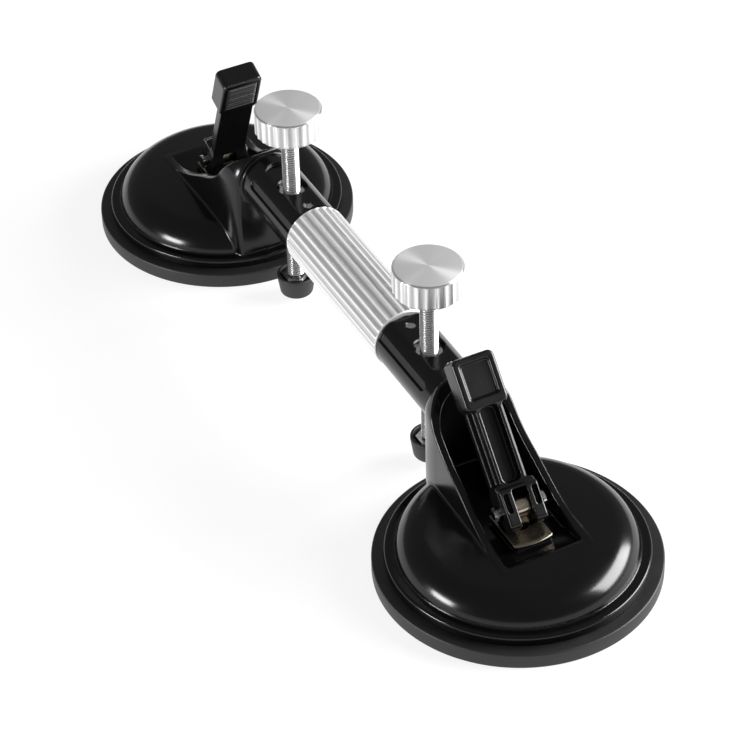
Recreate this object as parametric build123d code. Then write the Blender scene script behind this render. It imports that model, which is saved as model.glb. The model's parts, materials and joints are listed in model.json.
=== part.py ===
# Two-cup vacuum seam setter: two lever suction cups joined by a fluted turnbuckle sleeve.
#
# X runs along the tool from the far cup to the near cup, Z is up, and the origin is on the
# ground midway between the cups. Each end is drawn about its own cup's upright axis, with
# +X pointing along its arm towards the sleeve, and is then turned and moved into place.
from build123d import *
import os
from math import cos, radians, sin

# ---- driving dimensions, mm ---------------------------------------------------------
CUP_SPAN = 352.0            # between the two cup axes
DISC_R = 75.0               # 150 mm suction disc
DISC_RIM = 9.0              # thickness of the disc's rim
DISC_RIM_WIDTH = 15.0
DISC_WEB = 4.0              # thickness inside the rim
DISC_HOLLOW = 2.5           # depth of the shallow hollow underneath

LIP_R = 68.5                # foot of the housing, pressed on the disc's rim
LIP_TOP = 14.7
GROOVE_R = 64.4
DOME_R = 63.0
SHOULDER_R = 15.0           # round between the dome's side and its top
SHOULDER_TOP = 29.0
DOME_CROWN = 31.0
WALL = 3.5

AXIS_Z = 62.5               # height of the arms and the sleeve
ARM_R = 17.0
ARM_FLAT_Z = 77.4           # flat sunk along the arm's top, with a round end
ARM_FLAT_HALF_W = 8.2
ARM_FLAT_START = 72.0       # from the cup's axis
ARM_END = 53.5              # arm's end face, from the tool's middle
GROOVE_W = 4.2              # long groove down each side of the arm
GROOVE_DEPTH = 1.3
GROOVE_TURN = 62.0          # from the arm's top
GROOVE_START = 72.5         # from the cup's axis
SLEEVE_R = 18.0
SLEEVE_BORE_R = 15.0
SLEEVE_HALF = 53.2
SLEEVE_FLUTES = 26

BRACKET_START = -31.0       # where the side walls rise out of the dome
BRACKET_BEND = 40.0
BRACKET_END = 63.0
BRACKET_TOP = 81.3
HALF_W_START = 26.5         # half width of the bracket at its low end
HALF_W_BEND = 24.0
HALF_W_END = 18.5
CHEEK = 4.5                 # side wall thickness
RECESS_START = -28.0
RECESS_END = 57.0
RECESS_FLOOR = 25.5

SCREW_X = 81.5              # press screws, from the tool's middle
SCREW_R = 4.9               # M10 rod, over the thread
SCREW_BORE_R = 5.0
NECK_R = 3.0
COLLAR_R = 4.5
BUSH_R = 7.0
COUNTERBORE_R = 8.2
COUNTERBORE_DEPTH = 3.0
KNOB_R = 18.9
KNOB_BOTTOM = 114.5
KNOB_HEIGHT = 15.5
KNOB_FLUTES = 24
FOOT_R_TOP = 11.0
FOOT_R_BOTTOM = 9.3
FOOT_BOTTOM = 4.5
FOOT_HEIGHT = 12.5
FOOT_CUP_DEPTH = 4.0
CAP_FLATS = 14.0            # hex cap that keeps the rod's collar in the foot

STUD_R = 8.0                # hollow draw studs, right-hand near and left-hand far
STUD_IN_ARM = 18.5
STUD_INNER_END = 16.0
SET_SCREW_X = 61.0
SET_SCREW_R = 2.5
KEY_SIZE = 8.0              # square bar that keys the two studs together
KEY_HALF = 48.0
KEY_COLLAR_R = 14.8
KEY_COLLAR_HALF = 3.0
RUN_GAP = 0.1               # radial gap of a running fit
INSERT_LENGTH = 20.0

PIN_Z = 40.0                # lever pin with the lever fully back
PIN_R = 2.5
PIN_HALF = 14.5
PIN_HEAD_R = 3.8
PIN_HEAD_T = 1.5
CLIP_T = 0.8                # retaining ring on the pin's other end
CLIP_INSET = 1.3
CLIP_BITE = 0.5
PLATE_TOP = 30.0            # wear plate under the lever's cams
PLATE_T = 1.2
PLATE_HALF_W = 11.0
PLATE_OUTER = -18.0
PLATE_INNER = 11.0
PLUNGER_R = 6.0
PLUNGER_NECK = 15.0         # flat-sided length below the pin, between the lever's ears
PLUNGER_BORE_R = 6.1
HUB_R = 10.0
BACKING_R = 30.0
BACKING_T = 2.5
BACKING_Z = 7.0
EYE_R = 6.0
EYE_HALF_W = 3.9
SPRING_R_IN = 12.6          # coned disc springs, stacked rim to rim
SPRING_R_OUT = 17.4
SPRING_HALF_T = 0.8
SPRING_CONES = 6

LEVER_LENGTH = 80.0
HEAD_START = 53.0
HEAD_W = 24.0
HEAD_T = 13.0
SHANK_W = 20.5
SHANK_T = 10.5
CHANNEL_HALF_W = 5.2        # one long channel between two ribs on the shank's outer face
CHANNEL_DEPTH = 6.0
CHANNEL_CORNER = 3.4
CHANNEL_LOW = 13.0
RIB_T = 2.1
PANEL_HALF_W = 8.2          # sunk panel in the head's outer face
PANEL_DEPTH = 1.6
PAD_HALF_W = 9.0            # thumb pad let into the head's arm side
PAD_DEPTH = 1.2
HEAD_RIM = 4.0              # head left above and below the panel and the pad
HEAD_ROUND = 1.8
EAR_HALF_L = 9.0
FORK_TOP = 9.5              # height of the gap between the ears
EAR_W = 21.4
EAR_GAP = 8.6
CAM_R = 11.6                # cams are round and set off from the pin
CAM_OFFSET = 2.4
CAM_HIGH_ANGLE = -103.0     # lever angle at which the cam's high side points down
BACK_LEAN = 47.0            # lever fully back, degrees from upright towards the arm
CAM_TRAVEL = 135.0          # from fully back to locked down over the dome
CUP_LIFT = 4.5              # rise of the plunger over that travel
LEAN = {"near": 42.0, "far": 22.0}      # how the two levers stand


# ---- placing --------------------------------------------------------------------------
def at_end(end, shape):
    """Turn and move a shape from its cup's own frame to its end of the tool."""
    half = CUP_SPAN / 2
    if end == "near":
        return Pos(half, 0, 0) * Rot(0, 0, 180) * shape
    return Pos(-half, 0, 0) * shape


def own_x(from_middle):
    """Distance along a cup's own X of a place measured from the tool's middle."""
    return CUP_SPAN / 2 - from_middle


def plunger_lift(end):
    """How far the plunger has risen with the lever as it stands."""
    return CUP_LIFT * (BACK_LEAN - LEAN[end]) / CAM_TRAVEL


# ---- small helpers ----------------------------------------------------------------------
def rod(radius, z_low, z_high, x=0.0, y=0.0):
    return Pos(x, y, (z_low + z_high) / 2) * Cylinder(radius, z_high - z_low)


def bar(radius, x_low, x_high):
    """Round bar along the sleeve's axis."""
    return Pos((x_low + x_high) / 2, 0, AXIS_Z) * Rot(0, 90, 0) * Cylinder(radius, x_high - x_low)


def cross_bar(radius, half_length, z):
    return Pos(0, 0, z) * Rot(90, 0, 0) * Cylinder(radius, 2 * half_length)


def block(x, y, z):
    """Box between two limits along each axis."""
    middle = [(high + low) / 2 for low, high in (x, y, z)]
    return Pos(*middle) * Box(*[high - low for low, high in (x, y, z)])


def side_face(*edges):
    """Face in the XZ plane from edges drawn as (x, z)."""
    return make_face([Plane.XZ * edge for edge in edges])


def turned(*edges):
    return revolve(side_face(*edges), Axis.Z)


def across(half_width, *edges):
    return extrude(side_face(*edges), half_width, both=True)


def across_x(x_low, x_high, *edges):
    """Section drawn as (y, z) and carried from x_low to x_high."""
    plane = Plane((x_low, 0, 0), x_dir=(0, 1, 0), z_dir=(1, 0, 0))
    return extrude(make_face([plane * edge for edge in edges]), x_high - x_low)


def mirrored_plan(end_x, upper, z_low, z_high):
    """Upright solid whose plan is the edges given and their mirror image in Y."""
    lower = [mirror(edge, Plane.XZ) for edge in upper]
    start, finish = upper[0] @ 0, upper[-1] @ 1
    closing = [Line((start.X, -start.Y), (start.X, start.Y))]
    if finish.Y > 0.01:
        closing.append(Line((end_x, finish.Y), (end_x, -finish.Y)))
    return Pos(0, 0, z_low) * extrude(make_face([*upper, *lower, *closing]), z_high - z_low)


def fluted(radius, height, count, flute_r, depth):
    """Upright cylinder from z = 0 with round flutes down its side."""
    places = PolarLocations(radius + flute_r - depth, count)
    cutters = [place * Pos(0, 0, height / 2) * Cylinder(flute_r, 2 * height) for place in places]
    return rod(radius, 0, height) - cutters


# ---- housing ----------------------------------------------------------------------------
def shoulder(radius):
    """Side, shoulder and top corner points of the dome, for a round of this radius."""
    centre_x, centre_z = DOME_R - SHOULDER_R, SHOULDER_TOP - SHOULDER_R
    slant = radius * cos(radians(45))
    return ((centre_x + radius, centre_z), (centre_x + slant, centre_z + slant),
            (centre_x, centre_z + radius))


def dome_outer():
    side, slant, top = shoulder(SHOULDER_R)
    return turned(
        Polyline((0, DISC_RIM), (LIP_R, DISC_RIM), (LIP_R, LIP_TOP - 1.5)),
        RadiusArc((LIP_R, LIP_TOP - 1.5), (LIP_R - 1.5, LIP_TOP), -1.5),
        Polyline((LIP_R - 1.5, LIP_TOP), (GROOVE_R + 0.7, LIP_TOP), (GROOVE_R, side[1]), side),
        ThreePointArc(side, slant, top),
        ThreePointArc(top, (top[0] / 2, DOME_CROWN - 0.5), (0, DOME_CROWN)),
        Line((0, DOME_CROWN), (0, DISC_RIM)))


def dome_inner():
    side, slant, top = shoulder(SHOULDER_R - WALL)
    return turned(
        Polyline((0, DISC_RIM - 1), (side[0], DISC_RIM - 1), side),
        ThreePointArc(side, slant, top),
        Polyline(top, (0, top[1]), (0, DISC_RIM - 1)))


def bracket_outer():
    """Two side walls rising from the dome to a collar round the arm."""
    plan = mirrored_plan(
        BRACKET_END,
        [Line((BRACKET_START, HALF_W_START), (BRACKET_BEND, HALF_W_BEND)),
         Spline((BRACKET_BEND, HALF_W_BEND), (BRACKET_END, HALF_W_END),
                tangents=((1, -0.04), (1, -0.6)))],
        DISC_RIM, BRACKET_TOP + 5)
    side = across(
        HALF_W_START + 1,
        Polyline((BRACKET_END, BRACKET_TOP), (BRACKET_END, DISC_RIM), (BRACKET_START, DISC_RIM),
                 (BRACKET_START, SHOULDER_TOP)),
        Spline((BRACKET_START, SHOULDER_TOP), (-8, 33.5), (18, 46), (44, 62.5), (57, 78),
               (BRACKET_END, BRACKET_TOP), tangents=((1, 0.1), (1, 0.15))))
    rounded_top = across_x(
        BRACKET_START, BRACKET_END,
        Polyline((-HALF_W_START, AXIS_Z - 3), (-HALF_W_START, DISC_RIM),
                 (HALF_W_START, DISC_RIM), (HALF_W_START, AXIS_Z - 3)),
        EllipticalCenterArc((0, AXIS_Z - 3), HALF_W_START, BRACKET_TOP - AXIS_Z + 3,
                            arc_size=180))
    return plan & side & rounded_top


def recess():
    """Open pocket between the walls, with a ramp down from the dome's outer side."""
    y_start, y_bend = HALF_W_START - CHEEK, HALF_W_BEND - CHEEK
    plan = mirrored_plan(
        RECESS_END,
        [Line((RECESS_START, y_start), (BRACKET_BEND - 2, y_bend)),
         Spline((BRACKET_BEND - 2, y_bend), (RECESS_END, 0), tangents=((1, -0.04), (0, -1)))],
        RECESS_FLOOR - 5, BRACKET_TOP + 5)
    side = across(
        HALF_W_START,
        Polyline((RECESS_START, DOME_CROWN), (RECESS_START + 0.5, DOME_CROWN - 1.4),
                 (-13, RECESS_FLOOR), (RECESS_END, RECESS_FLOOR), (RECESS_END, BRACKET_TOP + 5),
                 (RECESS_START, BRACKET_TOP + 5), (RECESS_START, DOME_CROWN)))
    return plan & side


def arm():
    """Round arm with a sunk flat along its top and a long groove down each side."""
    end = own_x(ARM_END)
    body = bar(ARM_R, BRACKET_END - 6, end)
    flat = SlotOverall(2 * (end - ARM_FLAT_START), 2 * ARM_FLAT_HALF_W)
    body -= Pos(end, 0, ARM_FLAT_Z) * extrude(flat, ARM_R)
    for turn in (GROOVE_TURN, -GROOVE_TURN):
        slot = SlotOverall(2 * (end - GROOVE_START), GROOVE_W)
        slot = Pos(end, 0, AXIS_Z + ARM_R) * extrude(slot, GROOVE_DEPTH, both=True)
        body -= slot.rotate(Axis((0, 0, AXIS_Z), (1, 0, 0)), turn)
    return body


def housing():
    screw_x, end = own_x(SCREW_X), own_x(ARM_END)
    shell = dome_outer() + bracket_outer() + arm() - dome_inner()
    tub = block((BRACKET_START + 1, RECESS_END + 3), (-HALF_W_BEND, HALF_W_BEND),
                (RECESS_FLOOR - WALL, RECESS_FLOOR + 3))
    shell += tub & (dome_outer() + bracket_outer())
    shell -= recess()
    shell += block((PLATE_OUTER + 1, PLATE_INNER - 1), (-PLATE_HALF_W + 1, PLATE_HALF_W - 1),
                   (RECESS_FLOOR - 1, PLATE_TOP - PLATE_T))
    shell += rod(HUB_R + 1, RECESS_FLOOR - 9, RECESS_FLOOR)
    shell -= rod(PLUNGER_BORE_R, DISC_RIM, PLATE_TOP)
    shell -= rod(BUSH_R, AXIS_Z - ARM_R - 1, ARM_FLAT_Z + 1, screw_x)
    shell -= rod(COUNTERBORE_R, ARM_FLAT_Z - COUNTERBORE_DEPTH, ARM_FLAT_Z + 1, screw_x)
    shell -= bar(STUD_R, end - STUD_IN_ARM, end + 1)
    shell -= rod(SET_SCREW_R, AXIS_Z, ARM_FLAT_Z + 1, own_x(SET_SCREW_X))
    return shell


# ---- cup ----------------------------------------------------------------------------------
def rubber_disc():
    inner = DISC_R - DISC_RIM_WIDTH
    return turned(
        Polyline((0, DISC_HOLLOW), (inner - 4, DISC_HOLLOW), (inner + 3, 0), (DISC_R - 0.8, 0),
                 (DISC_R, 0.8), (DISC_R, DISC_RIM - 1.2), (DISC_R - 1.2, DISC_RIM),
                 (inner + 0.5, DISC_RIM), (inner - 3, DISC_HOLLOW + DISC_WEB),
                 (0, DISC_HOLLOW + DISC_WEB), (0, DISC_HOLLOW)))


def wear_plate():
    """Steel plate with a bowed outer edge, bored for the plunger."""
    face = make_face([
        Polyline((PLATE_OUTER + 2, PLATE_HALF_W), (PLATE_INNER, PLATE_HALF_W),
                 (PLATE_INNER, -PLATE_HALF_W), (PLATE_OUTER + 2, -PLATE_HALF_W)),
        ThreePointArc((PLATE_OUTER + 2, -PLATE_HALF_W), (PLATE_OUTER, 0),
                      (PLATE_OUTER + 2, PLATE_HALF_W))])
    plate = Pos(0, 0, PLATE_TOP - PLATE_T) * extrude(face, PLATE_T)
    return plate - rod(PLUNGER_BORE_R + 0.6, 0, PLATE_TOP + 1)


def plunger(end):
    """Stem with an eye at its top for the lever pin and a hub on the backing plate."""
    up = plunger_lift(end)
    hub_low, stem_top = BACKING_Z + BACKING_T, PIN_Z - PLUNGER_NECK
    stem = rod(HUB_R, hub_low, hub_low + 2.2) + rod(PLUNGER_R, hub_low, stem_top)
    eye = cross_bar(EYE_R, EYE_HALF_W, PIN_Z)
    flat = PLUNGER_R - 1.8
    eye += block((-flat, flat), (-EYE_HALF_W, EYE_HALF_W), (stem_top, PIN_Z))
    return Pos(0, 0, up) * (stem + eye - cross_bar(PIN_R, EYE_HALF_W + 1, PIN_Z))


def backing_plate(end):
    return Pos(0, 0, plunger_lift(end)) * rod(BACKING_R, BACKING_Z, BACKING_Z + BACKING_T)


def return_spring(end):
    """Stack of coned disc springs between the backing plate and the roof of the dome."""
    low = BACKING_Z + BACKING_T + plunger_lift(end)
    rise = (RECESS_FLOOR - WALL - low) / SPRING_CONES
    middle = [(SPRING_R_IN if n % 2 else SPRING_R_OUT, low + n * rise)
              for n in range(SPRING_CONES + 1)]
    outer = [(r + SPRING_HALF_T, z) for r, z in middle]
    inner = [(r - SPRING_HALF_T, z) for r, z in reversed(middle)]
    return turned(Polyline(*outer, *inner, outer[0]))


def lever_pin(end):
    pin = cross_bar(PIN_R, PIN_HALF, PIN_Z)
    head = Pos(0, PIN_HEAD_T / 2 - PIN_HALF, 0) * cross_bar(PIN_HEAD_R, PIN_HEAD_T / 2, PIN_Z)
    groove = Pos(0, PIN_HALF - CLIP_INSET, 0) * cross_bar(PIN_R, CLIP_T / 2, PIN_Z)
    core = Pos(0, PIN_HALF - CLIP_INSET, 0) * cross_bar(PIN_R - CLIP_BITE, CLIP_T / 2, PIN_Z)
    return Pos(0, 0, plunger_lift(end)) * (pin + head - groove + core)


def pin_clip(end):
    """Open retaining ring in the pin's groove."""
    ring = Cylinder(PIN_HEAD_R, CLIP_T) - Cylinder(PIN_R - CLIP_BITE, CLIP_T)
    ring -= Pos(0, PIN_HEAD_R, 0) * Box(2 * PIN_R - 1.6, 2 * PIN_HEAD_R, 2)
    return Pos(0, PIN_HALF - CLIP_INSET, PIN_Z + plunger_lift(end)) * Rot(90, 0, 0) * ring


# ---- lever --------------------------------------------------------------------------------
def set_lever(end, shape):
    """Lean a lever piece, drawn upright about the origin, on its pin."""
    return Pos(0, 0, PIN_Z + plunger_lift(end)) * Rot(0, LEAN[end], 0) * shape


def cams():
    angle = radians(CAM_HIGH_ANGLE)
    centre = Pos(CAM_OFFSET * sin(angle), 0, -CAM_OFFSET * cos(angle))
    return centre * Rot(90, 0, 0) * Cylinder(CAM_R, EAR_W)


def head_inside():
    """Heights between which the lever's head is let in."""
    return HEAD_START + HEAD_RIM, LEVER_LENGTH - HEAD_RIM


def lever():
    half_t = SHANK_T / 2
    body = cams() & block((-CAM_R, CAM_R), (-EAR_W, EAR_W), (-2 * CAM_R, CAM_R))
    body &= block((-EAR_HALF_L, EAR_HALF_L), (-EAR_W, EAR_W), (-2 * CAM_R, CAM_R + 2))
    shank = block((-half_t, half_t), (-SHANK_W / 2, SHANK_W / 2), (4, HEAD_START + 2))
    head = block((-HEAD_T / 2, HEAD_T / 2), (-HEAD_W / 2, HEAD_W / 2), (HEAD_START, LEVER_LENGTH))
    head = fillet(head.edges().filter_by(Axis.Z) + head.faces().sort_by(Axis.Z)[-1].edges(),
                  HEAD_ROUND)
    body += shank + head
    slot = Pos(-half_t, 0, (CHANNEL_LOW + HEAD_START) / 2) * Rot(0, 90, 0)
    slot *= RectangleRounded(HEAD_START - CHANNEL_LOW, 2 * CHANNEL_HALF_W, CHANNEL_CORNER)
    body -= extrude(slot, CHANNEL_DEPTH, both=True)
    rib_out, ledge_x = CHANNEL_HALF_W + RIB_T, CHANNEL_DEPTH - half_t
    for y in ((-SHANK_W, -rib_out), (rib_out, SHANK_W)):
        body -= block((-HEAD_T, ledge_x), y, (CHANNEL_LOW, HEAD_START))
    body -= block((-HEAD_T, PANEL_DEPTH - HEAD_T / 2), (-PANEL_HALF_W, PANEL_HALF_W), head_inside())
    body -= block((HEAD_T / 2 - PAD_DEPTH, HEAD_T), (-PAD_HALF_W, PAD_HALF_W), head_inside())
    body -= block((-20, 20), (-EAR_GAP / 2, EAR_GAP / 2), (-20, FORK_TOP))
    return body - cross_bar(PIN_R + RUN_GAP, EAR_W, 0)


def lever_grip():
    """Thumb pad let into the arm side of the lever's head, with fine cross ribs."""
    face_x = HEAD_T / 2
    pad = block((face_x - PAD_DEPTH, face_x + 0.2), (-PAD_HALF_W, PAD_HALF_W), head_inside())
    ribs = [block((face_x + 0.2, face_x + 0.7), (-PANEL_HALF_W, PANEL_HALF_W), (z, z + 1.0))
            for z in [HEAD_START + 5.5 + 1.9 * n for n in range(9)]]
    return pad + ribs


# ---- press screw ----------------------------------------------------------------------------
def press_bush():
    low, high = AXIS_Z - ARM_R + 0.6, ARM_FLAT_Z - COUNTERBORE_DEPTH
    x = own_x(SCREW_X)
    return rod(BUSH_R, low, high, x) - rod(SCREW_BORE_R, low - 1, high + 1, x)


def press_screw():
    """Rod with a necked, collared lower end that turns in its foot."""
    x = own_x(SCREW_X)
    shoulder_z = FOOT_BOTTOM + FOOT_HEIGHT + 0.6
    neck_z = FOOT_BOTTOM + 4.6
    parts = [rod(SCREW_R, shoulder_z, KNOB_BOTTOM, x), rod(4.0, KNOB_BOTTOM, KNOB_BOTTOM + 10, x),
             rod(NECK_R, neck_z, shoulder_z, x), rod(COLLAR_R, neck_z - 1.6, neck_z, x)]
    return parts[0] + parts[1:]


def press_knob():
    knob = fluted(KNOB_R, KNOB_HEIGHT, KNOB_FLUTES, 2.6, 0.7)
    top_cone = Pos(0, 0, KNOB_HEIGHT / 2) * Cylinder(KNOB_R, KNOB_HEIGHT)
    top_cone = chamfer(top_cone.edges().filter_by(GeomType.CIRCLE), 0.9)
    knob = (knob & top_cone) - rod(4.0, -1, 10)
    return Pos(own_x(SCREW_X), 0, KNOB_BOTTOM) * knob


def press_foot():
    """Rubber foot with an open cup on top and a pocket for the rod's collar."""
    top = FOOT_BOTTOM + FOOT_HEIGHT
    foot = turned(
        Polyline((0, FOOT_BOTTOM), (FOOT_R_BOTTOM - 1, FOOT_BOTTOM),
                 (FOOT_R_BOTTOM, FOOT_BOTTOM + 1), (FOOT_R_TOP, top - 2), (FOOT_R_TOP, top),
                 (FOOT_R_TOP - 1.6, top), (FOOT_R_TOP - 1.9, top - FOOT_CUP_DEPTH),
                 (COLLAR_R + 0.4, top - FOOT_CUP_DEPTH), (COLLAR_R + 0.4, FOOT_BOTTOM + 2.6),
                 (0, FOOT_BOTTOM + 2.6), (0, FOOT_BOTTOM)))
    return Pos(own_x(SCREW_X), 0, 0) * foot


def foot_cap():
    low = FOOT_BOTTOM + FOOT_HEIGHT - FOOT_CUP_DEPTH
    face = RegularPolygon(CAP_FLATS / 2, 6, major_radius=False) - Circle(NECK_R + 0.4)
    return Pos(own_x(SCREW_X), 0, low) * extrude(face, 3.2)


# ---- turnbuckle -------------------------------------------------------------------------------
def draw_stud():
    """Hollow stud held in its arm, with a square bore for the key bar."""
    arm_end, inner_end = own_x(ARM_END), own_x(STUD_INNER_END)
    stud = bar(STUD_R, arm_end - STUD_IN_ARM, arm_end) + bar(STUD_R - RUN_GAP, arm_end, inner_end)
    half = KEY_SIZE / 2 + RUN_GAP
    stud -= block((arm_end - STUD_IN_ARM - 1, inner_end + 1), (-half, half),
                  (AXIS_Z - half, AXIS_Z + half))
    return stud - rod(SET_SCREW_R - 0.5, AXIS_Z + half, AXIS_Z + STUD_R, own_x(SET_SCREW_X))


def set_screw():
    """Countersunk-looking grub screw that pins the stud in its arm."""
    x = own_x(SET_SCREW_X)
    tip_z = AXIS_Z + STUD_R
    screw = rod(SET_SCREW_R, tip_z, ARM_FLAT_Z - 0.6, x)
    screw += rod(SET_SCREW_R - 0.5, AXIS_Z + KEY_SIZE / 2 + RUN_GAP, tip_z, x)
    slot = Pos(x, 0, ARM_FLAT_Z - 0.6) * extrude(RegularPolygon(1.3, 6), 2.4, both=True)
    return screw - slot


def sleeve():
    turned_sleeve = fluted(SLEEVE_R, 2 * SLEEVE_HALF, SLEEVE_FLUTES, 2.2, 0.9)
    laid = Pos(-SLEEVE_HALF, 0, AXIS_Z) * Rot(0, 90, 0) * turned_sleeve
    return laid - bar(SLEEVE_BORE_R, -SLEEVE_HALF - 1, SLEEVE_HALF + 1)


def sleeve_insert(sign):
    """Threaded end nut pressed in the sleeve's bore."""
    low, high = sorted((sign * SLEEVE_HALF, sign * (SLEEVE_HALF - INSERT_LENGTH)))
    return bar(SLEEVE_BORE_R, low, high) - bar(STUD_R, low - 1, high + 1)


def key_bar():
    half = KEY_SIZE / 2
    return block((-KEY_HALF, KEY_HALF), (-half, half), (AXIS_Z - half, AXIS_Z + half))


def key_collar():
    collar = bar(KEY_COLLAR_R, -KEY_COLLAR_HALF, KEY_COLLAR_HALF)
    return collar - key_bar()


def sleeve_rings():
    """Two retaining rings in the sleeve, one each side of the key bar's collar."""
    near_x = KEY_COLLAR_HALF + 0.3
    ring = bar(SLEEVE_BORE_R, near_x, near_x + 1.6) - bar(11.5, near_x - 1, near_x + 3)
    return [ring, mirror(ring, Plane.YZ)]


# ---- writing the parts ----------------------------------------------------------------------
def end_parts(end):
    """Every node of one end, drawn in the cup's own frame."""
    return {
        "housing": housing(), "rubber_disc": rubber_disc(), "wear_plate": wear_plate(),
        "plunger": plunger(end), "backing_plate": backing_plate(end),
        "return_spring": return_spring(end), "lever_pin": lever_pin(end),
        "pin_clip": pin_clip(end), "lever": set_lever(end, lever()),
        "lever_grip": set_lever(end, lever_grip()), "press_bush": press_bush(),
        "press_screw": press_screw(), "press_knob": press_knob(), "press_foot": press_foot(),
        "foot_cap": foot_cap(), "draw_stud": draw_stud(), "set_screw": set_screw(),
    }


def all_parts():
    parts = {f"{end}_{name}": at_end(end, shape)
             for end in ("near", "far") for name, shape in end_parts(end).items()}
    parts.update(sleeve=sleeve(), near_sleeve_insert=sleeve_insert(1),
                 far_sleeve_insert=sleeve_insert(-1), key_bar=key_bar(),
                 key_collar=key_collar(), sleeve_rings=Compound(sleeve_rings()))
    return parts


os.makedirs("parts", exist_ok=True)
for name, shape in all_parts().items():
    solids = shape.solids()
    export_step(solids[0] if len(solids) == 1 else Compound(solids), f"parts/{name}.step")
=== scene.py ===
# A two-cup vacuum seam setter in a plain studio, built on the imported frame.
import json
import bpy
import bmesh
import numpy as np
from math import cos, pi, radians, sin, tau
from mathutils import Matrix, Vector


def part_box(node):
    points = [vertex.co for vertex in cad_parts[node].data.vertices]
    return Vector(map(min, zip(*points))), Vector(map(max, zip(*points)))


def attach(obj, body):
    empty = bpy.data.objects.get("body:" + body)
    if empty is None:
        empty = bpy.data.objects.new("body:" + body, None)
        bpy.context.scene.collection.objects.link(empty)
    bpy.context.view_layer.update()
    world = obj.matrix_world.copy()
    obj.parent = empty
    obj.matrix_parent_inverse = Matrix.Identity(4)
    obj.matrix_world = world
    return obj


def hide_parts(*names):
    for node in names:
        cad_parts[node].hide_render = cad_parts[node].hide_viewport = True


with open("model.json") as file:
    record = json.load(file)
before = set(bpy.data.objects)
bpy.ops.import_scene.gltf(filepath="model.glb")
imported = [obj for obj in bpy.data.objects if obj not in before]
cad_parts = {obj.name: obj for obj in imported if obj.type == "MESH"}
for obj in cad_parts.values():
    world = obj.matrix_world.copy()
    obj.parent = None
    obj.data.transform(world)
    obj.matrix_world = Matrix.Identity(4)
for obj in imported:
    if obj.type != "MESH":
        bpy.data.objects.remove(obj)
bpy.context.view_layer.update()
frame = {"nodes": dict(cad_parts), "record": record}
scene = bpy.context.scene
mm = 0.001
print("frame loaded with", len(frame["nodes"]), "nodes")


# ---- places, in mm, from the frame
def nodeBox(node):
    low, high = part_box(node)
    return np.array(low) / mm, np.array(high) / mm


def nodeMiddle(node):
    low, high = nodeBox(node)
    return (low + high) / 2


cupX = nodeMiddle("near_rubber_disc")[0]
screwX = nodeMiddle("near_press_screw")[0]
axisZ = nodeMiddle("near_sleeve_insert")[2]
sleeveHalf = nodeBox("sleeve")[1][0]
ends = ("near", "far")


def ownX(fromMiddle):
    return cupX - fromMiddle            # a cup's own X runs from its axis towards the sleeve


def placeAt(end, points):
    # the near end is turned half round, the far end only moved
    placed = np.array(points, float)
    if end == "near":
        placed[:, 0], placed[:, 1] = cupX - placed[:, 0], -placed[:, 1]
    else:
        placed[:, 0] -= cupX
    return placed


# ---- camera
cameraFit = {"azimuth": 63.84, "elevation": 39.22, "roll": -1.68, "distance": 1604.5,
             "target": (3.9, 6.3, 0.0), "lens": 138.8}


def addCamera(fit):
    a, e, roll = (radians(fit[k]) for k in ("azimuth", "elevation", "roll"))
    back = Vector((sin(a) * cos(e), -cos(a) * cos(e), sin(e)))
    right = Vector((cos(a), sin(a), 0))
    up = back.cross(right)
    turnedRight = cos(roll) * right + sin(roll) * up
    turnedUp = cos(roll) * up - sin(roll) * right
    camera = bpy.data.objects.new("camera", bpy.data.cameras.new("camera"))
    scene.collection.objects.link(camera)
    camera.data.lens, camera.data.sensor_width = fit["lens"], 36
    camera.data.clip_end = 50
    place = (Vector(fit["target"]) + back * fit["distance"]) * mm
    camera.matrix_world = Matrix.Translation(place) @ Matrix(
        (turnedRight, turnedUp, back)).transposed().to_4x4()
    scene.camera = camera


addCamera(cameraFit)


# ---- finishes
class Wire:
    # a wrapped socket, so that a + b * 2 adds the Math nodes
    def __init__(self, finish, socket):
        self.finish, self.socket = finish, socket

    def math(self, operation, *others, first=None):
        values = [self if first is None else first, *others]
        return self.finish.node("ShaderNodeMath", {"operation": operation},
                                dict(enumerate(values)))

    def __add__(self, other): return self.math("ADD", other)
    def __sub__(self, other): return self.math("SUBTRACT", other)
    def __rsub__(self, other): return self.math("SUBTRACT", self, first=other)
    def __mul__(self, other): return self.math("MULTIPLY", other)
    def __pow__(self, other): return self.math("POWER", other)
    __radd__, __rmul__ = __add__, __mul__


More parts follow.
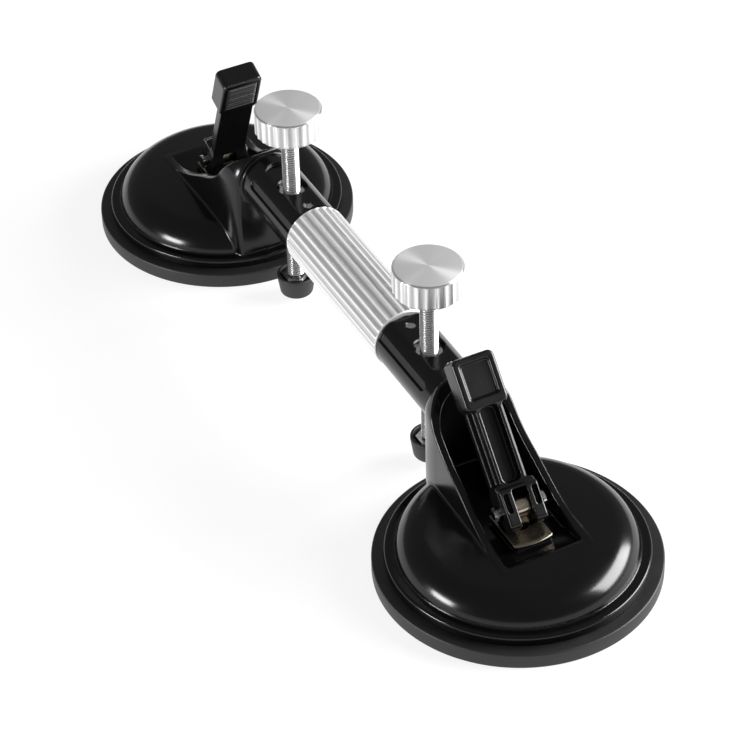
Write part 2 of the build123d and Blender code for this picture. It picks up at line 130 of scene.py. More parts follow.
class Finish:
    # a material with one Principled shader, whose sockets are fed by wires
    made = {}

    def __init__(self, name, **constants):
        self.material = bpy.data.materials.new(name)
        self.material.use_nodes = True
        self.tree = self.material.node_tree
        self.shader = self.tree.nodes["Principled BSDF"]
        for socket, value in constants.items():
            self.shader.inputs[socket.replace("_", " ")].default_value = value
        Finish.made[name] = self

    def node(self, kind, settings, inputs, output=0):
        made = self.tree.nodes.new(kind)
        for key, value in settings.items():
            setattr(made, key, value)
        for key, value in inputs.items():
            if isinstance(value, Wire):
                self.tree.links.new(value.socket, made.inputs[key])
            else:
                made.inputs[key].default_value = value
        return Wire(self, made.outputs[output])

    def place(self):
        return self.node("ShaderNodeTexCoord", {}, {}, "Object")

    def split(self, vector):
        return [self.node("ShaderNodeSeparateXYZ", {}, {0: vector}, axis) for axis in range(3)]

    def noise(self, scale, stretch=(1, 1, 1), detail=3.0):
        # noise over the piece, scale in bumps per metre along each stretched axis
        mapped = self.node("ShaderNodeMapping", {},
                           {"Vector": self.place(), "Scale": tuple(scale * s for s in stretch)})
        return self.node("ShaderNodeTexNoise", {}, {"Vector": mapped, "Scale": 1.0,
                                                    "Detail": detail}, "Fac")

    def between(self, wire, low, high, fromLow=0.0, fromHigh=1.0, smooth=False):
        kind = "SMOOTHSTEP" if smooth else "LINEAR"
        return self.node("ShaderNodeMapRange", {"interpolation_type": kind},
                         {"Value": wire, "From Min": fromLow, "From Max": fromHigh,
                          "To Min": low, "To Max": high})

    def mix(self, factor, a, b):
        return self.node("ShaderNodeMix", {"data_type": "RGBA"},
                         {"Factor": factor, 6: a, 7: b}, 2)

    def feed(self, **wires):
        for socket, wire in wires.items():
            self.tree.links.new(wire.socket, self.shader.inputs[socket.replace("_", " ")])

    def bump(self, height, strength, distance):
        self.feed(Normal=self.node("ShaderNodeBump", {}, {
            "Height": height, "Strength": strength, "Distance": distance}, "Normal"))


def grey(value, tint=(1, 1, 1)):
    return (value * tint[0], value * tint[1], value * tint[2], 1)


def plasticFinish(name, dark, light, rough, grain, bump, specular=0.5, coolness=1.15):
    # moulded black: cloudy roughness, faint grain in the surface
    made = Finish(name, Specular_IOR_Level=specular)
    cloud = made.noise(60, detail=4)
    fine = made.noise(grain, detail=2)
    tint = (1, 1, coolness)
    made.feed(Base_Color=made.mix(cloud, grey(dark, tint), grey(light, tint)),
              Roughness=made.between(cloud * 0.6 + fine * 0.4, rough[0], rough[1], 0.3, 0.7))
    made.bump(fine, bump, 0.0002)
    return made


plasticFinish("housing_gloss", 0.0015, 0.003, (0.15, 0.21), 900, 0.02, 0.36)
plasticFinish("lever_plastic", 0.002, 0.004, (0.2, 0.28), 1400, 0.025, 0.45)
plasticFinish("disc_rubber", 0.006, 0.011, (0.42, 0.55), 2200, 0.16)
plasticFinish("foot_rubber", 0.008, 0.014, (0.45, 0.6), 2200, 0.16)
plasticFinish("grip_rubber", 0.006, 0.012, (0.4, 0.5), 2000, 0.12)


def metalFinish(name, colour, rough, stretch=(1, 1, 1), scale=900, bump=0.05, dirt=0.12,
                **constants):
    # metal with fine marks drawn out along the short-stretch axis, and cloudy dulling
    made = Finish(name, Metallic=1.0, **constants)
    marks = made.noise(scale, stretch, 2)
    cloud = made.noise(130, detail=4)
    dull = tuple(c * (1 - dirt) for c in colour)
    made.feed(Base_Color=made.mix(made.between(cloud, 0, 1, 0.35, 0.65), (*dull, 1),
                                  (*colour, 1)),
              Roughness=made.between(marks * 0.7 + cloud * 0.3, rough[0], rough[1], 0.3, 0.7))
    made.bump(marks, bump, 0.0001)
    return made


metalFinish("wear_steel", (0.3, 0.27, 0.21), (0.22, 0.36), (0.15, 1, 1), 2500)
metalFinish("brass", (0.52, 0.46, 0.37), (0.14, 0.26), (1, 1, 0.3))
metalFinish("plain_steel", (0.55, 0.55, 0.56), (0.28, 0.42))
metalFinish("spring_steel", (0.4, 0.4, 0.41), (0.25, 0.4))
metalFinish("pin_steel", (0.85, 0.85, 0.86), (0.1, 0.2), (1, 1, 1), 1500)
metalFinish("bush_steel", (0.92, 0.92, 0.93), (0.14, 0.26))
metalFinish("cap_steel", (0.62, 0.62, 0.63), (0.2, 0.34))
metalFinish("stud_steel", (0.55, 0.55, 0.56), (0.22, 0.36))
metalFinish("screw_steel", (0.92, 0.92, 0.93), (0.12, 0.24), (1, 1, 1), 1500)


def rodFinish():
    # bright thread with painted shade in its roots: colour by distance from the rod's axis
    made = metalFinish("rod_steel", (0.9, 0.9, 0.9), (0.18, 0.3), (1, 1, 1), 1200, 0.03)
    # painted shade: the thread's roots darker than its crests, by radius
    paintedRootShade = made.between(aboutScrew(made), 1, 0, 4.05 * mm, 4.75 * mm, True)
    made.feed(Base_Color=made.mix(paintedRootShade, grey(0.86), grey(0.3)))


def aboutScrew(finish):
    x, y, z = finish.split(finish.place())
    away = x.math("ABSOLUTE") - screwX * mm
    return (away * away + y * y) ** 0.5


def flutePaintedShade(made, radius, outer, depth, dark, light):
    # painted shade: darker in the hollows than on the lands, by radius
    hollowShadeMask = made.between(radius, 0, 1, (outer - depth) * mm, (outer - 0.05) * mm)
    return made.mix(hollowShadeMask, grey(dark), grey(light))


def knobFinish(rings=2600):
    # turned face: fine rings round the knob's axis, on the flat top only
    made = Finish("knob_aluminium", Anisotropic=0.85, Anisotropic_Rotation=0.25)
    x, y, z = made.split(made.place())
    radius = aboutScrew(made)
    top = made.between(z, 0, 1, (knobTop - 0.4) * mm, (knobTop - 0.1) * mm)
    turning = (radius * (tau * rings)).math("SINE") * 0.5 + 0.5
    fine = made.noise(2600, (1, 1, 0.1), 2)
    # painted shade on the fluted side: hollows darker than lands
    side = flutePaintedShade(made, radius, knobSize["r"], knobSize["depth"], 0.5, 0.9)
    made.feed(Base_Color=made.mix(top, side, grey(0.92)),
              Metallic=made.between(top, 0.8, 0.6),
              Roughness=made.between(turning * top * 0.5 + fine * 0.5, 0.28, 0.42))
    made.bump(turning * top * 0.6 + fine * 0.4, 0.05, 0.0001)


def sleeveFinish():
    # satin aluminium with marks drawn along the flutes, and painted shade in the flutes' hollows
    # by distance from the sleeve's axis
    made = Finish("sleeve_aluminium")
    x, y, z = made.split(made.place())
    up = z - axisZ * mm
    radius = (y * y + up * up) ** 0.5
    marks = made.noise(3500, (0.02, 1, 1), 2)
    # painted shade: the flutes' hollows darker than their lands
    side = flutePaintedShade(made, radius, sleeveSize["r"], sleeveSize["depth"], 0.6, 0.95)
    made.feed(Base_Color=side,
              Metallic=made.between(marks, 0.45, 0.6),
              Roughness=made.between(marks, 0.26, 0.4, 0.3, 0.7))
    made.bump(marks, 0.08, 0.0001)


knobSize = {"r": 18.9, "height": 15.5, "flutes": 24, "depth": 0.6, "chamfer": 1.2,
            "fluteStart": 1.0, "fluteStop": 1.4, "perFlute": 16}
sleeveSize = {"r": 18.0, "bore": 15.0, "flutes": 26, "depth": 0.8, "chamfer": 0.8,
              "fluteGap": 0.1, "perFlute": 18}
knobTop = nodeBox("near_press_knob")[1][2]
rodFinish()
knobFinish()
sleeveFinish()
print("finishes made:", len(Finish.made))


# ---- meshes from whole arrays
def welded(mesh):
    # closes seams and poles, and turns every face outwards
    work = bmesh.new()
    work.from_mesh(mesh)
    bmesh.ops.remove_doubles(work, verts=work.verts, dist=2e-7)
    bmesh.ops.dissolve_degenerate(work, edges=work.edges, dist=1e-8)
    bmesh.ops.recalc_face_normals(work, faces=work.faces)
    work.to_mesh(mesh)
    work.free()


def addPiece(name, points, quads, body, slotName, replaced=(), normals=None, crease=35):
    mesh = bpy.data.meshes.new(name)
    mesh.vertices.add(len(points))
    mesh.vertices.foreach_set("co", (np.asarray(points) * mm).astype(np.float32).ravel())
    mesh.loops.add(quads.size)
    mesh.loops.foreach_set("vertex_index", quads.astype(np.int32).ravel())
    mesh.polygons.add(len(quads))
    mesh.polygons.foreach_set("loop_start", np.arange(len(quads), dtype=np.int32) * 4)
    mesh.update(calc_edges=True)
    if normals is None:
        mesh.validate()
        welded(mesh)
        mesh.shade_smooth()
        mesh.set_sharp_from_angle(angle=radians(crease))
    else:
        mesh.shade_smooth()
        mesh.normals_split_custom_set_from_vertices(normals.astype(np.float32))
    piece = bpy.data.objects.new(name, mesh)
    scene.collection.objects.link(piece)
    mesh.materials.append(Finish.made[slotName].material)
    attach(piece, body)
    if replaced:
        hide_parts(*replaced)
    return piece


def gridQuads(rows, columns, closedRows=False, closedColumns=False):
    r = np.arange(rows if closedRows else rows - 1)
    c = np.arange(columns if closedColumns else columns - 1)
    r, c = np.meshgrid(r, c, indexing="ij")
    nextR, nextC = (r + 1) % rows, (c + 1) % columns
    corners = (r * columns + c, r * columns + nextC, nextR * columns + nextC,
               nextR * columns + c)
    return np.stack([k.ravel() for k in corners], 1)


def turnedGrid(profile, around=96, shape=None):
    # a profile of (radius, height) carried round the Z axis; shape may change the radius
    profile = np.array(profile, float)
    angle = np.arange(around) * tau / around
    radius, height = profile[:, :1], profile[:, 1:2]
    radius = np.broadcast_to(radius, (len(profile), around))
    if shape is not None:
        radius = shape(radius, height, angle[None, :])
    points = np.stack([radius * np.cos(angle), radius * np.sin(angle),
                       np.broadcast_to(height, radius.shape)], 2).reshape(-1, 3)
    return points, gridQuads(len(profile), around, closedColumns=True)


def roundedLine(corners, radius, steps=5):
    # a polyline whose inner corners become arcs of that radius
    corners = [np.array(c, float) for c in corners]
    line = [corners[0]]
    for before, corner, after in zip(corners, corners[1:], corners[2:]):
        toBefore, toAfter = before - corner, after - corner
        lengths = np.linalg.norm(toBefore), np.linalg.norm(toAfter)
        reach = min(radius, lengths[0] * 0.45, lengths[1] * 0.45)
        start = corner + toBefore * reach / lengths[0]
        finish = corner + toAfter * reach / lengths[1]
        t = np.linspace(0, 1, steps)[:, None]
        line += list((1 - t) ** 2 * start + 2 * t * (1 - t) * corner + t ** 2 * finish)
    return np.array(line + [corners[-1]])


def layAlongX(points):
    # what was drawn up Z now runs along X at the sleeve's height
    x, y, z = np.asarray(points).T
    return np.stack([z, y, axisZ - x], 1)


# ---- solids as distance fields, in mm, negative inside
def joined(a, b, fillet):
    return np.maximum(fillet, np.minimum(a, b)) - np.hypot(np.maximum(fillet - a, 0),
                                                           np.maximum(fillet - b, 0))


def common(a, b, edge):
    return np.minimum(-edge, np.maximum(a, b)) + np.hypot(np.maximum(edge + a, 0),
                                                          np.maximum(edge + b, 0))


def without(a, b, edge):
    return common(a, -b, edge)


def slab(value, low, high):
    return np.abs(value - (low + high) / 2) - (high - low) / 2


def blockField(x, y, z, xs, ys, zs, edge):
    return common(common(slab(x, *xs), slab(y, *ys), edge), slab(z, *zs), edge)


def surfaceNet(field, low, high, step, slides=5, reach=0.04, normalReach=0.12, leastSlope=0.25):
    # one point in each cell that the surface crosses, at the mean of its edges' crossings, and
    # one quad round each crossed edge; the points then slide down the gradient onto the surface
    axes = [np.arange(a, b + step, step, dtype=np.float32) for a, b in zip(low, high)]
    value = field(*np.meshgrid(*axes, indexing="ij"))
    shape, cells, crossings, quads = value.shape, [], [], []
    for axis in range(3):
        first = value[tuple(slice(None, -1) if k == axis else slice(None) for k in range(3))]
        second = value[tuple(slice(1, None) if k == axis else slice(None) for k in range(3))]
        corner = np.argwhere((first < 0) != (second < 0))
        a, b = first[tuple(corner.T)], second[tuple(corner.T)]
        crossing = corner.astype(float)
        crossing[:, axis] += a / (a - b)
        ring = []
        for du, dv in ((0, 0), (-1, 0), (-1, -1), (0, -1)):
            cell = corner.copy()
            cell[:, (axis + 1) % 3] += du
            cell[:, (axis + 2) % 3] += dv
            ring.append(np.ravel_multi_index(cell.T, shape))
            cells.append(ring[-1])
            crossings.append(crossing)
        ring = np.stack(ring, 1)
        ring[a > 0] = ring[a > 0][:, ::-1]
        quads.append(ring)
    used, index = np.unique(np.concatenate(cells), return_inverse=True)
    crossings = np.concatenate(crossings)
    count = np.bincount(index)
    points = np.stack([np.bincount(index, crossings[:, k]) / count for k in range(3)], 1)
    points = np.array(low) + points * step
    quads = np.searchsorted(used, np.concatenate(quads))

    def gradient(at, h):
        return np.stack([(field(*(at + h * way).T) - field(*(at - h * way).T)) / (2 * h)
                         for way in np.eye(3)], 1)

    for _ in range(slides):
        slope = gradient(points, reach)
        drop = field(*points.T) / np.maximum((slope ** 2).sum(1), leastSlope)
        points -= np.clip(drop, -step / 2, step / 2)[:, None] * slope
    normals = gradient(points, normalReach)
    return points, quads, normals / np.linalg.norm(normals, axis=1)[:, None]


def tabled(knots, samples=600):
    # a smooth curve through the knots, cubic between them, and 1 / sqrt(1 + slope^2) along it
    x, y = np.array(knots, float).T
    slope = np.gradient(y, x)
    at = np.linspace(x[0], x[-1], samples)
    k = np.clip(np.searchsorted(x, at) - 1, 0, len(x) - 2)
    width = x[k + 1] - x[k]
    t = (at - x[k]) / width
    value = ((1 + 2 * t) * (1 - t) ** 2 * y[k] + t * (1 - t) ** 2 * width * slope[k]
             + t ** 2 * (3 - 2 * t) * y[k + 1] + t ** 2 * (t - 1) * width * slope[k + 1])
    lean = 1 / np.sqrt(1 + np.gradient(value, at) ** 2)
    return lambda v: (np.interp(v, at, value), np.interp(v, at, lean))


# ---- housing: each cup's own X runs from its axis towards the sleeve
domeSize = {"floor": 9.0, "floorEdge": 0.4, "r": 63.0, "shoulder": 15.0, "crown": 31.0,
            "crownFall": 2.0, "lipR": 68.5, "lipTop": 14.7, "lipEdge": 1.5, "lipFillet": 0.7}
bracketSize = {"start": -31.0, "end": 63.0, "startHalf": 26.5, "bend": 42.0, "bendHalf": 24.0,
               "endHalf": 18.5, "rounding": 2.0, "archGap": 0.2, "rimEdge": 1.3, "edge": 1.0,
               "fillet": 1.6}
recessSize = {"end": 57.0, "corner": 14.0, "floor": 25.5, "cheek": 4.5, "footEdge": 1.2,
              "rimEdge": 1.0}
seatSize = {"box": ((-17.0, 10.0), (-10.0, 10.0), (23.0, 28.8)), "edge": 0.5, "fillet": 0.8}
armSize = {"r": 17.0, "start": 40.0, "end": 53.5, "edge": 0.8, "fillet": 1.0, "flatZ": 77.4,
           "flatHalf": 8.2, "flatStart": 72.0, "flatEdge": 0.3, "grooveW": 4.2,
           "grooveDepth": 1.3, "grooveTurn": 62.0, "grooveStart": 72.5, "rimEdge": 0.4}
hollowSize = {"wall": 3.5, "tub": ((-30.0, 60.0), (-24.0, 24.0)), "tubTop": 60.0, "hubR": 11.0,
              "hubLow": 16.7, "hubEdge": 0.4, "fillet": 0.5, "edge": 0.4}
holeSize = {"plungerR": 6.1, "boreR": 7.0, "boreBelow": 35.0, "counterR": 8.2,
            "counterDepth": 3.0, "studR": 8.0, "studLength": 18.5, "setX": 61.0, "setR": 2.5,
            "edge": 0.3, "setEdge": 0.2}
bracketTop = tabled([(-60, 27.5), (-31, 29.0), (-8, 33.5), (18, 46), (44, 62.5), (56, 76.5),
                     (63, 81.3), (90, 81.3)])
recessBottom = tabled([(-60, 40.0), (-29, 31.0), (-26, 29.2), (-14, 26.2), (-11, 25.5),
                       (0, 25.5), (90, 25.5)])


def halfWidth(x, s=bracketSize):
    # straight taper, then a quarter of an ellipse in to the arm
    start, bend, last = s["startHalf"], s["bendHalf"], s["endHalf"] - s["rounding"]
    straight = start - (start - bend) * (x - s["start"]) / (s["bend"] - s["start"])
    t = np.clip((x - s["bend"]) / (s["end"] - s["bend"] + s["rounding"]), 0, 1)
    return np.where(t > 0, last + (bend - last) * np.sqrt(1 - t * t), straight)


def domeField(r, z, s=domeSize):
    top = s["crown"] - s["crownFall"] * (r / (s["r"] - s["shoulder"])) ** 2
    dome = common(r - s["r"], z - top, s["shoulder"])
    lip = common(r - s["lipR"], z - s["lipTop"], s["lipEdge"])
    return joined(dome, lip, s["lipFillet"])


def bracketField(x, y, z, width, s=bracketSize):
    # two side walls under a leaning top, arched over the arm
    height, lean = bracketTop(x)
    walls = common(np.abs(y) - width, (z - height) * lean, s["rimEdge"])
    arch = np.hypot(y, np.maximum(z - axisZ, 0)) - width - s["archGap"]
    return common(common(walls, arch, s["edge"]), slab(x, s["start"], s["end"]), s["edge"])


def armField(x, y, z, s=armSize):
    # a round arm with a sunk flat along its top and a groove down each side
    side, up = np.abs(y), z - axisZ
    arm = common(np.hypot(y, up) - s["r"], slab(x, s["start"], ownX(s["end"])), s["edge"])
    roundEnd = s["flatStart"] + s["flatHalf"]
    flat = np.hypot(np.maximum(roundEnd - x, 0), y) - s["flatHalf"]
    arm = without(arm, common(flat, s["flatZ"] - z, s["flatEdge"]), s["rimEdge"])
    a = radians(s["grooveTurn"])
    across, outward = side * cos(a) - up * sin(a), side * sin(a) + up * cos(a)
    roundEnd = s["grooveStart"] + s["grooveW"] / 2
    slot = np.hypot(np.maximum(roundEnd - x, 0), across) - s["grooveW"] / 2
    slot = common(slot, s["r"] - s["grooveDepth"] - outward, s["rimEdge"])
    return without(arm, slot, s["rimEdge"])


def recessField(x, y, z, width, s=recessSize):
    # the pocket between the walls, with a ramp down from the dome's outer side
    ramp, lean = recessBottom(x)
    walls = common(np.abs(y) - (width - s["cheek"]), x - s["end"], s["corner"])
    return common(walls, (ramp - z) * lean, s["footEdge"])


def hollowField(x, y, z, r, s=hollowSize):
    # the dome's inside, less the recess's own floor and the plunger's hub
    top, wall = recessSize["floor"], s["wall"]
    hollow = common(r - (domeSize["r"] - wall), z - top, domeSize["shoulder"] - wall)
    tub = blockField(x, y, z, *s["tub"], (top - wall, s["tubTop"]), s["fillet"])
    hub = common(r - s["hubR"], s["hubLow"] - z, s["hubEdge"])
    return without(without(hollow, tub, s["fillet"]), hub, s["fillet"])


def holeFields(x, y, z, r, s=holeSize):
    # each hole, and how far its rim is rounded
    screw, setScrew = (np.hypot(x - ownX(at), y) for at in (screwX, s["setX"]))
    counterLow = armSize["flatZ"] - s["counterDepth"]
    studEnd = ownX(armSize["end"]) - s["studLength"]
    return (
        (r - s["plungerR"], 0.4),
        (common(screw - s["boreR"], axisZ - s["boreBelow"] - z, s["edge"]), 0.3),
        (common(screw - s["counterR"], counterLow - z, s["edge"]), 0.6),
        (common(np.hypot(y, z - axisZ) - s["studR"], studEnd - x, s["edge"]), 0.5),
        (common(setScrew - s["setR"], axisZ - z, s["setEdge"]), 0.5))


def housingField(x, y, z):
    r, width = np.hypot(x, y), halfWidth(x)
    body = joined(domeField(r, z), bracketField(x, y, z, width), bracketSize["fillet"])
    body = joined(body, armField(x, y, z), armSize["fillet"])
    body = common(body, domeSize["floor"] - z, domeSize["floorEdge"])
    body = without(body, recessField(x, y, z, width), recessSize["rimEdge"])
    seat = blockField(x, y, z, *seatSize["box"], seatSize["edge"])
    body = joined(body, seat, seatSize["fillet"])
    body = without(body, hollowField(x, y, z, r), hollowSize["edge"])
    for hole, edge in holeFields(x, y, z, r):
        body = without(body, hole, edge)
    return body


housingGrid = {"low": (-71, -71, 7), "high": (ownX(armSize["end"]) + 2, 71, 85), "step": 0.85}
points, quads, normals = surfaceNet(housingField, **housingGrid)
print("housing net", len(points), "points")


def turnedNormals(end, normals):
    return normals * (-1, -1, 1) if end == "near" else normals


for end in ends:
    addPiece(f"{end}_housing_shell", placeAt(end, points), quads, f"{end}_cup", "housing_gloss",
             [f"{end}_housing"], turnedNormals(end, normals))

# ---- lever
leverSize = {
    "length": 80.0, "headStart": 53.0, "headW": 24.0, "headT": 13.0,
    "headCorner": 3.4, "headEdge": 1.5, "headFillet": 1.4, "shankW": 20.5, "shankT": 10.5,
    "shankStart": 2.0, "edge": 1.0, "channelHalf": 5.2, "channelDepth": 6.0,
    "channelCorner": 3.4, "channelLow": 13.0, "floorEdge": 0.8, "ribT": 2.1, "ribEdge": 0.7,
    "ledgeEdge": 1.5, "earW": 21.4, "earHalfL": 9.0, "earEdge": 1.4, "earFillet": 2.2,
    "gap": 8.6, "gapTop": 9.5, "gapEdge": 1.2, "gapRim": 0.6, "camR": 11.6,
    "camOffset": 2.4, "camAngle": -103.0, "pinR": 2.6, "pinEdge": 0.3,
}
panelSize = {"halfW": 8.6, "low": 4.6, "high": 3.2, "depth": 1.9, "slope": 0.5, "slopeEnd": 2.0,
             "corner": 1.6, "floorEdge": 0.5, "rimEdge": 0.6}
padSize = {"halfW": 9.0, "inset": 4.0, "depth": 1.2, "corner": 0.2, "rimEdge": 0.4, "ribs": 9,
           "ribHeight": 0.6, "ribSlope": 1.6, "ribShare": 0.4, "sheetHeight": 0.25,
           "rimDrop": 0.15, "fade": 0.9, "backDepth": 1.15, "rows": 150, "columns": 26}
earPocketSize = {"y": 8.1, "z": 3.5, "halfL": 3.6, "r": 1.5, "floorX": -5.0, "edge": 0.4}
leverLean = {"near": 42.0, "far": 22.0}


def leverBlank(x, y, z, s=leverSize):
    # shank, round cams cut to ears, and head, run together
    faceT, headT = s["shankT"] / 2, s["headT"] / 2
    shank = blockField(x, y, z, (-faceT, faceT), (-s["shankW"] / 2, s["shankW"] / 2),
                       (s["shankStart"], s["headStart"] + 4), s["edge"])
    a = radians(s["camAngle"])
    cam = np.hypot(x - s["camOffset"] * sin(a), z + s["camOffset"] * cos(a)) - s["camR"]
    ears = common(cam, slab(x, -s["earHalfL"], s["earHalfL"]), s["earEdge"])
    ears = common(ears, np.abs(y) - s["earW"] / 2, s["edge"])
    head = common(slab(y, -s["headW"] / 2, s["headW"] / 2),
                  slab(z, s["headStart"] - 0.5, s["length"]), s["headCorner"])
    head = common(head, slab(x, -headT, headT), s["headEdge"])
    return joined(joined(shank, ears, s["earFillet"]), head, s["headFillet"])


def ribsField(x, side, z, s=leverSize):
    # what is cut from the outer face beside and between its two ribs
    floor = x + s["shankT"] / 2 - s["channelDepth"]
    low, corner = s["channelLow"], s["channelCorner"]
    middle, reach = (low + s["headStart"]) / 2, (s["headStart"] - low) / 2
    slot = np.hypot(np.maximum(side - s["channelHalf"] + corner, 0),
                    np.maximum(np.abs(z - middle) - reach + corner, 0)) - corner
    ledge = common(s["channelHalf"] + s["ribT"] - side, floor, s["floorEdge"])
    return (common(slot, floor, s["floorEdge"]),
            common(ledge, slab(z, low, s["headStart"]), s["ledgeEdge"]))


def panelField(x, y, z, s=leverSize, p=panelSize):
    # the head's sunk panel, whose sides slope in
    face = x + s["headT"] / 2
    slope = np.clip(face, 0, p["slopeEnd"]) * p["slope"]
    along = slab(z, s["headStart"] + p["low"], s["length"] - p["high"])
    panel = common(slab(y, -p["halfW"], p["halfW"]) + slope, along + slope, p["corner"])
    return common(panel, face - p["depth"], p["floorEdge"])


def leverField(x, y, z, s=leverSize, pad=padSize, pocket=earPocketSize):
    side = np.abs(y)
    body = leverBlank(x, y, z)
    for groove in ribsField(x, side, z):
        body = without(body, groove, s["ribEdge"])
    body = without(body, panelField(x, y, z), panelSize["rimEdge"])
    seat = blockField(x, y, z, (s["headT"] / 2 - pad["depth"], 20.0),
                      (-pad["halfW"], pad["halfW"]),
                      (s["headStart"] + pad["inset"], s["length"] - pad["inset"]), pad["corner"])
    body = without(body, seat, pad["rimEdge"])
    fork = common(side - s["gap"] / 2, z - s["gapTop"], s["gapEdge"])
    body = without(body, fork, s["gapRim"])
    along = np.maximum(np.abs(z - pocket["z"]) - pocket["halfL"], 0)
    hole = common(np.hypot(side - pocket["y"], along) - pocket["r"], x - pocket["floorX"],
                  pocket["edge"])
    body = without(body, hole, pocket["edge"])
    return without(body, np.hypot(x, z) - s["pinR"], s["pinEdge"])


def onPin(end, points):
    # leans a piece drawn upright about the pin, and lifts it to the pin's height
    a = radians(leverLean[end])
    pinZ = nodeMiddle(f"{end}_lever_pin")[2]
    x, y, z = np.asarray(points).T
    return np.stack([x * cos(a) + z * sin(a), y, z * cos(a) - x * sin(a)], 1), pinZ


leverGrid = {"low": (-16, -14, -14), "high": (14, 14, 82), "step": 0.42}
leverPoints, leverQuads, leverNormals = surfaceNet(leverField, **leverGrid)
print("lever net", len(leverPoints), "points")


def gripPad(s=padSize):
    # thumb pad: flat sheet whose height is a row of rounded cross ribs, faded at its rim
    low, high = leverSize["headStart"] + s["inset"], leverSize["length"] - s["inset"]
    face, columns = leverSize["headT"] / 2, s["columns"]
    u, v = np.meshgrid(np.linspace(-s["halfW"], s["halfW"], columns),
                       np.linspace(low, high, s["rows"]))
    fromRim = np.minimum(s["halfW"] - np.abs(u), np.minimum(v - low, high - v))
    rim = np.clip(fromRim / s["fade"], 0, 1)
    turn = (v - low) * tau * s["ribs"] / (high - low) + pi
    wave = np.clip(np.cos(turn) * s["ribSlope"] + s["ribShare"], 0, 1)
    top = face - s["rimDrop"] + (s["sheetHeight"] + s["ribHeight"] * wave) * rim
    front = np.stack([top, u, v], 2).reshape(-1, 3)
    back = front.copy()
    back[:, 0] = face - s["backDepth"]
    sheet = gridQuads(*u.shape)
    edge = np.concatenate([np.arange(columns), np.arange(1, len(u)) * columns + columns - 1,
                           (len(u) - 1) * columns + np.arange(columns - 2, -1, -1),
                           np.arange(len(u) - 2, 0, -1) * columns])
    rimQuads = np.stack([edge, np.roll(edge, -1), np.roll(edge, -1) + len(front),
                         edge + len(front)], 1)
    return np.concatenate([front, back]), np.concatenate([sheet, sheet[:, ::-1] + len(front),
                                                          rimQuads])


padPoints, padQuads = gripPad()
for end in ends:
    raised, pinZ = onPin(end, leverPoints)
    normalsHere = onPin(end, leverNormals)[0]
    addPiece(f"{end}_lever_body", placeAt(end, raised + (0, 0, pinZ)), leverQuads,
             f"{end}_flip_lever", "lever_plastic", [f"{end}_lever"],
             turnedNormals(end, normalsHere))
    pad, pinZ = onPin(end, padPoints)
    addPiece(f"{end}_grip_pad", placeAt(end, pad + (0, 0, pinZ)), padQuads,
             f"{end}_flip_lever", "grip_rubber", [f"{end}_lever_grip"])
print("levers made")

# ---- turned pieces, wear plates and rods
discProfile = roundedLine([(0, 2.5), (56, 2.5), (63, 0), (75, 0), (75, 9), (60.5, 9), (57, 6.5),
                           (0, 6.5)], 1.1)
footProfile = roundedLine([(0, 4.5), (8.6, 4.5), (9.4, 5.4), (10.9, 15), (10.9, 17), (9.3, 17),
                           (8.9, 13), (4.9, 13), (4.9, 7.1), (0, 7.1)], 0.5, 4)


def addTurned(name, profile, centre, body, slotName, replaced, around=96, shape=None, crease=35):
    points, quads = turnedGrid(profile, around, shape)
    return addPiece(name, points + centre, quads, body, slotName, replaced, crease=crease)


plateSize = {"outer": -18.0, "bow": 2.0, "inner": 11.0, "halfW": 11.0,
             "low": 28.82, "top": 30.0, "lip": 0.45, "lipLength": 2.5, "boreR": 6.7,
             "corner": 0.6, "edge": 0.3, "boreEdge": 0.2}


def plateField(x, y, z, s=plateSize):
    # a strip bored for the plunger, whose outer end bows out and turns down a little
    end = s["outer"] + s["bow"] * (y / s["halfW"]) ** 2
    drop = s["lip"] * np.clip(1 - (x - end) / s["lipLength"], 0, 1) ** 2
    outline = common(np.abs(y) - s["halfW"], np.maximum(end - x, x - s["inner"]), s["corner"])
    plate = common(outline, np.maximum(z - s["top"] + drop, s["low"] - z), s["edge"])
    return without(plate, np.hypot(x, y) - s["boreR"], s["boreEdge"])


plateGrid = {"low": (-19, -12, 28), "high": (12, 12, 31), "step": 0.36}
platePoints, plateQuads, plateNormals = surfaceNet(plateField, **plateGrid)
rodSize = {"r": 4.9, "depth": 0.85, "pitch": 1.5, "low": 17.6, "neckR": 3.0, "neckLow": 9.1,
           "collarR": 4.5, "collarLow": 7.5, "veePower": 1.3, "perTurn": 10, "around": 56}


def threadedRod(high, s=rodSize):
    # rows follow the thread's helix, the radius is a rounded vee along each pitch; below the
    # thread come the neck and the collar, and a fan to the axis closes each end
    low, around = s["low"], s["around"] + 1
    turns = int((high - low) / s["pitch"]) + 2
    row = np.arange(turns * s["perTurn"] + 1)[:, None] / s["perTurn"] - 1
    angle = np.arange(around)[None, :] * tau / s["around"]
    height = low + s["pitch"] * (row + angle / tau)
    vee = np.abs(((row + 0 * angle) % 1) * 2 - 1) ** s["veePower"]
    clipped = np.clip(height, low, high)
    radii = np.where(clipped != height, s["r"] - s["depth"], s["r"] - s["depth"] * vee)
    foot = [(0, s["collarLow"]), (s["collarR"], s["collarLow"]), (s["collarR"], s["neckLow"]),
            (s["neckR"], s["neckLow"]), (s["neckR"], low)]
    radii = np.concatenate([*[np.full((1, around), r) for r, _ in foot], radii,
                            np.zeros((1, around))])
    height = np.concatenate([*[np.full((1, around), z) for _, z in foot], clipped,
                             np.full((1, around), high)])
    points = np.stack([radii * np.cos(angle), radii * np.sin(angle), height], 2)
    return points.reshape(-1, 3), gridQuads(len(radii), around)


def flutedShape(count, depth, low, high, narrowing=2.35, fade=0.3):
    # broad hollow flutes between narrow lands, fading out beyond the side's own height
    def shape(radius, height, angle):
        across = np.abs((angle * count / tau) % 1 - 0.5) * narrowing
        side = np.clip(np.minimum(height - low, high - height) / fade + 1, 0, 1)
        return radius - depth * np.clip(1 - across ** 2, 0, 1) * side
    return shape


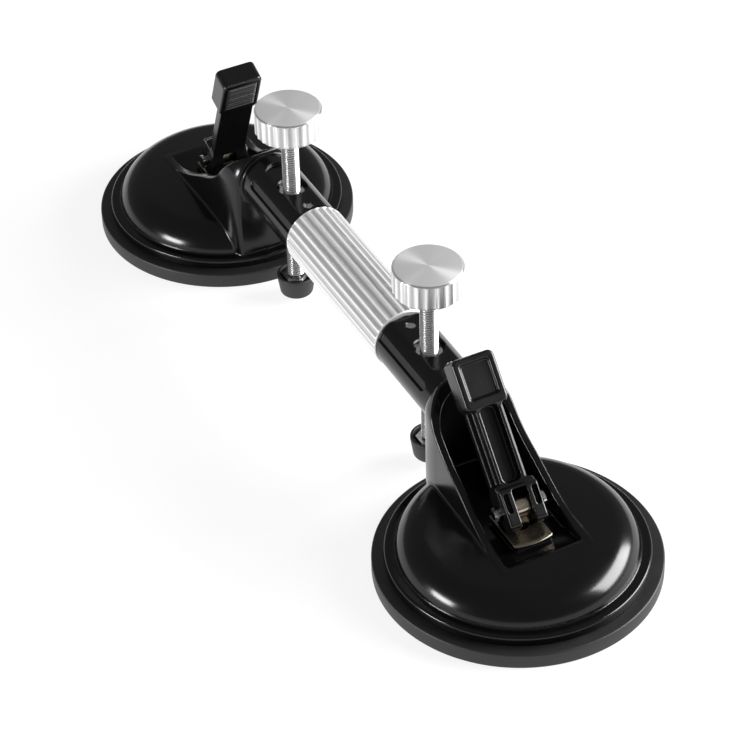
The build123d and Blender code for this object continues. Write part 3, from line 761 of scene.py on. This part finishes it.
def knobOutline(low, s=knobSize):
    outer, chamfer = s["r"], s["chamfer"]
    return roundedLine([(0, low), (outer - chamfer, low), (outer, low + chamfer),
                        (outer, knobTop - chamfer), (outer - chamfer, knobTop), (0, knobTop)],
                       0.3, 3)


def sleeveOutline(s=sleeveSize):
    inner, outer, chamfer = s["bore"], s["r"], s["chamfer"]
    return roundedLine([(inner, -sleeveHalf), (outer - chamfer, -sleeveHalf),
                        (outer, -sleeveHalf + chamfer), (outer, sleeveHalf - chamfer),
                        (outer - chamfer, sleeveHalf), (inner, sleeveHalf),
                        (inner, -sleeveHalf)], 0.25, 3)


knobLow = knobTop - knobSize["height"]
knobFlutes = flutedShape(knobSize["flutes"], knobSize["depth"],
                         knobLow + knobSize["fluteStart"], knobTop - knobSize["fluteStop"])
for end in ends:
    sign = 1 if end == "near" else -1
    cup = np.array((sign * cupX, 0, 0))
    screw = np.array((sign * screwX, 0, 0))
    addTurned(f"{end}_suction_disc", discProfile, cup, f"{end}_cup", "disc_rubber",
              [f"{end}_rubber_disc"], 160)
    addPiece(f"{end}_cam_plate", placeAt(end, platePoints), plateQuads, f"{end}_cup",
             "wear_steel", [f"{end}_wear_plate"], turnedNormals(end, plateNormals))
    rodPoints, rodQuads = threadedRod(nodeBox(f"{end}_press_knob")[0][2] + 0.5)
    addPiece(f"{end}_press_rod", rodPoints + screw, rodQuads, f"{end}_screw_set", "rod_steel",
             [f"{end}_press_screw"], crease=60)
    addTurned(f"{end}_fluted_knob", knobOutline(knobLow), screw, f"{end}_screw_set",
              "knob_aluminium", [f"{end}_press_knob"], knobSize["flutes"] * knobSize["perFlute"],
              knobFlutes)
    addTurned(f"{end}_rubber_foot", footProfile, screw, f"{end}_foot_set", "foot_rubber",
              [f"{end}_press_foot"], 64)
fluteEnd = sleeveHalf - sleeveSize["chamfer"] - sleeveSize["fluteGap"]
sleevePoints, sleeveQuads = turnedGrid(
    sleeveOutline(), sleeveSize["flutes"] * sleeveSize["perFlute"],
    flutedShape(sleeveSize["flutes"], sleeveSize["depth"], -fluteEnd, fluteEnd))
addPiece("fluted_sleeve", layAlongX(sleevePoints), sleeveQuads, "sleeve_set",
         "sleeve_aluminium", ["sleeve"])
print("turned pieces made")

# ---- the CAD nodes that stay, in their finishes
slots = {part["node"]: part["material_slot"] for part in frame["record"]["subparts"]}
for name, node in frame["nodes"].items():
    if not node.hide_render:
        node.data.materials.clear()
        node.data.materials.append(Finish.made[slots[name]].material)
        node.data.shade_smooth()
        node.data.set_sharp_from_angle(angle=radians(30))


# ---- studio
studio = {"floor": 0.2, "glow": 0.84, "world": 0.2}


def addFloor():
    bpy.ops.mesh.primitive_plane_add(size=30)
    floor = bpy.context.object
    floor.name = "floor"
    made = Finish("floor_paper", Base_Color=grey(studio["floor"]), Roughness=0.9,
                  Emission_Color=(1, 1, 1, 1), Emission_Strength=studio["glow"])
    floor.data.materials.append(made.material)


def addLight(name, at, size, power, target=(0, 0, 0.03)):
    light = bpy.data.objects.new(name, bpy.data.lights.new(name, "AREA"))
    scene.collection.objects.link(light)
    light.data.shape, light.data.size, light.data.size_y = "RECTANGLE", *size
    light.data.energy = power
    aim = Vector(target) - Vector(at)
    light.matrix_world = Matrix.Translation(at) @ aim.to_track_quat("-Z", "Y").to_matrix().to_4x4()


addFloor()
addLight("softbox_right", (0.55, 1.25, 0.6), (1.2, 0.7), 54)
addLight("softbox_left", (0.05, -1.4, 0.24), (0.5, 0.3), 16)
world = bpy.data.worlds.new("studio")
world.use_nodes = True
world.node_tree.nodes["Background"].inputs["Color"].default_value = grey(studio["world"])
scene.world = world
scene.view_settings.view_transform = "Standard"
